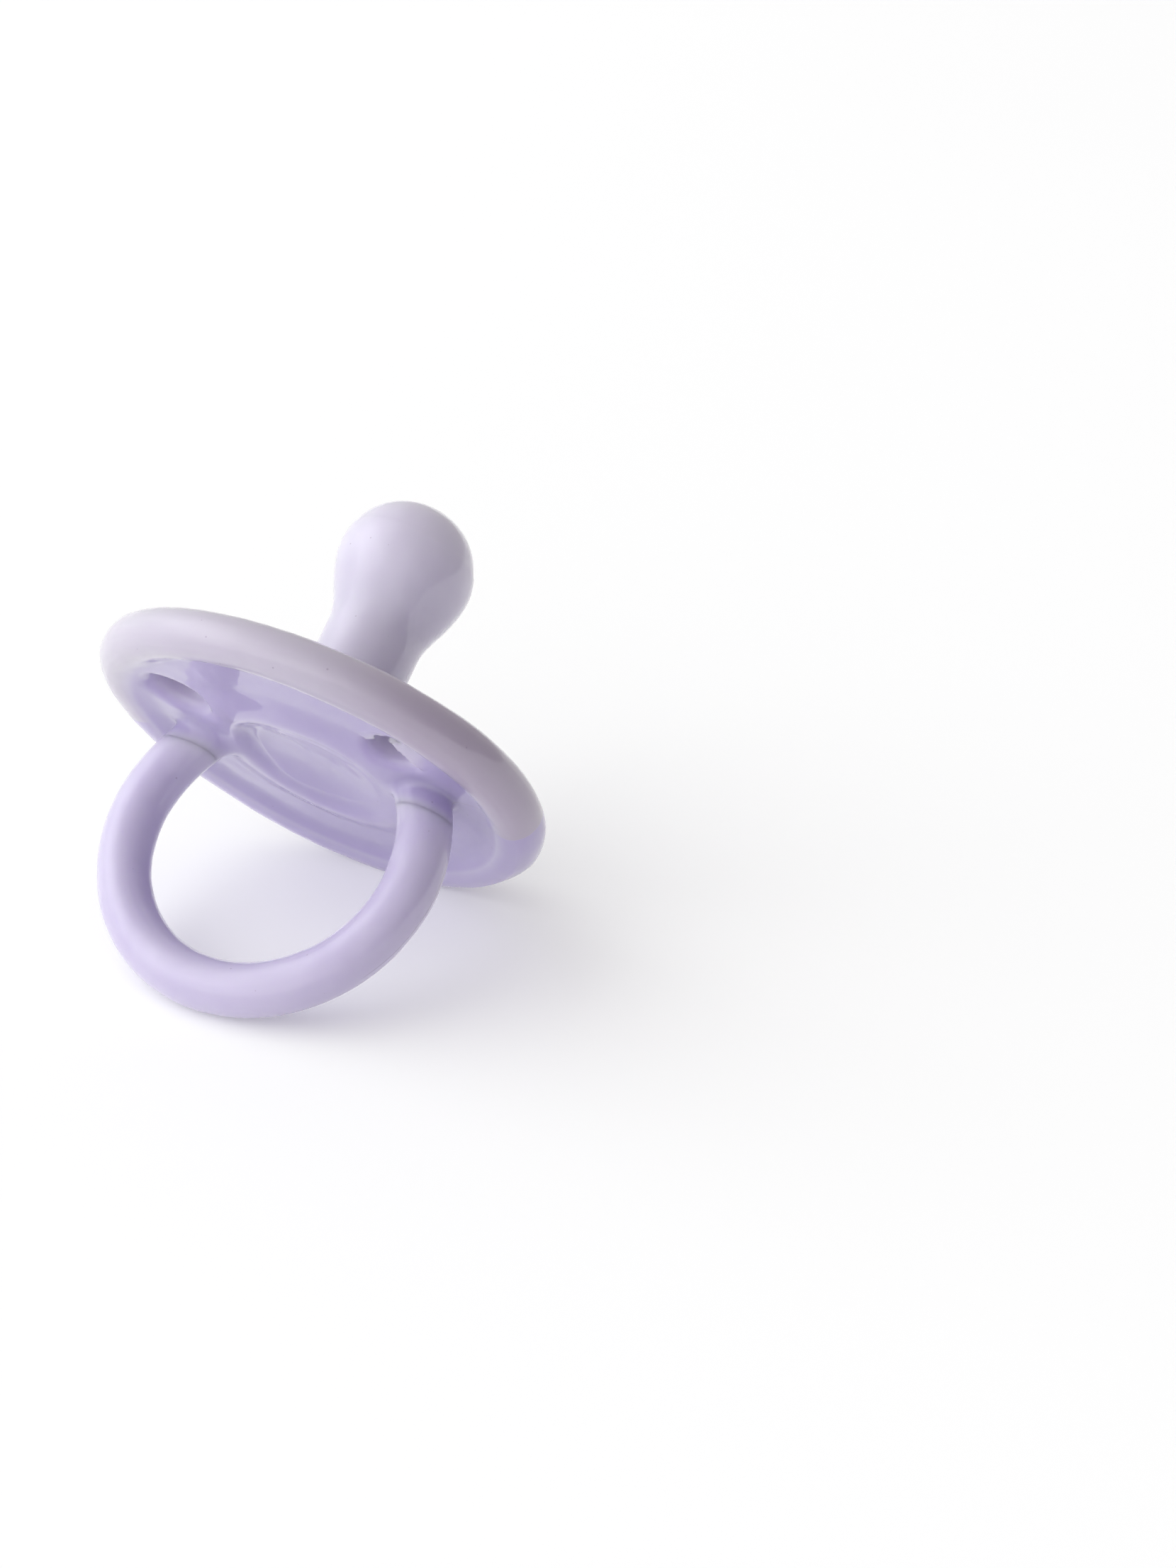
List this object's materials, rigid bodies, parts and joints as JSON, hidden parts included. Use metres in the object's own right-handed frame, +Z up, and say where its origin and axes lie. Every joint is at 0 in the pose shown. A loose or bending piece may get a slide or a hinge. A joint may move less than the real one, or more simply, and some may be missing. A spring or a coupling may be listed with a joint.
{
  "type": "pacifier",
  "caption": "Round moulded-rubber soother with a bulb teat, a shallow dished shield with a thick rounded rim and vent holes, and a flexible ring handle.",
  "frame": {"origin": "on the surface the soother rests on, under the middle of its bounding box; the soother lies as it comes to rest, on the far end of its ring and the low point of its rim", "axes": "+Z up from the resting surface; +X through the ring's two feet; +Y the way the teat leans, at 39 degrees above level"},
  "size_m": [0.045, 0.0438, 0.0369],
  "materials": {
    "rubber": "satin, slightly translucent"
  },
  "bodies": {
    "shield": {"shield_dish": "rubber", "rim_bead": "rubber", "core_plug": "rubber", "ring_foot_left": "rubber", "ring_foot_right": "rubber", "teat_neck": "rubber"},
    "handle": {"handle_ring": "rubber"},
    "teat": {"teat_bulb": "rubber"}
  },
  "joints": [
    {"name": "ring_flex", "type": "hinge", "parent": "shield", "child": "handle", "pos_m": [0, -0.00395, 0.01486], "axis": [1, 0, 0], "range_deg": [-40, 40], "stiffness_Nm_per_rad": 0.03, "deforming": ["ring_foot_left", "ring_foot_right"]},
    {"name": "teat_flex", "type": "hinge", "parent": "shield", "child": "teat", "pos_m": [0, 0.00618, 0.02301], "axis": [1, 0, 0], "range_deg": [-30, 30], "stiffness_Nm_per_rad": 0.04, "deforming": ["teat_neck"]}
  ]
}
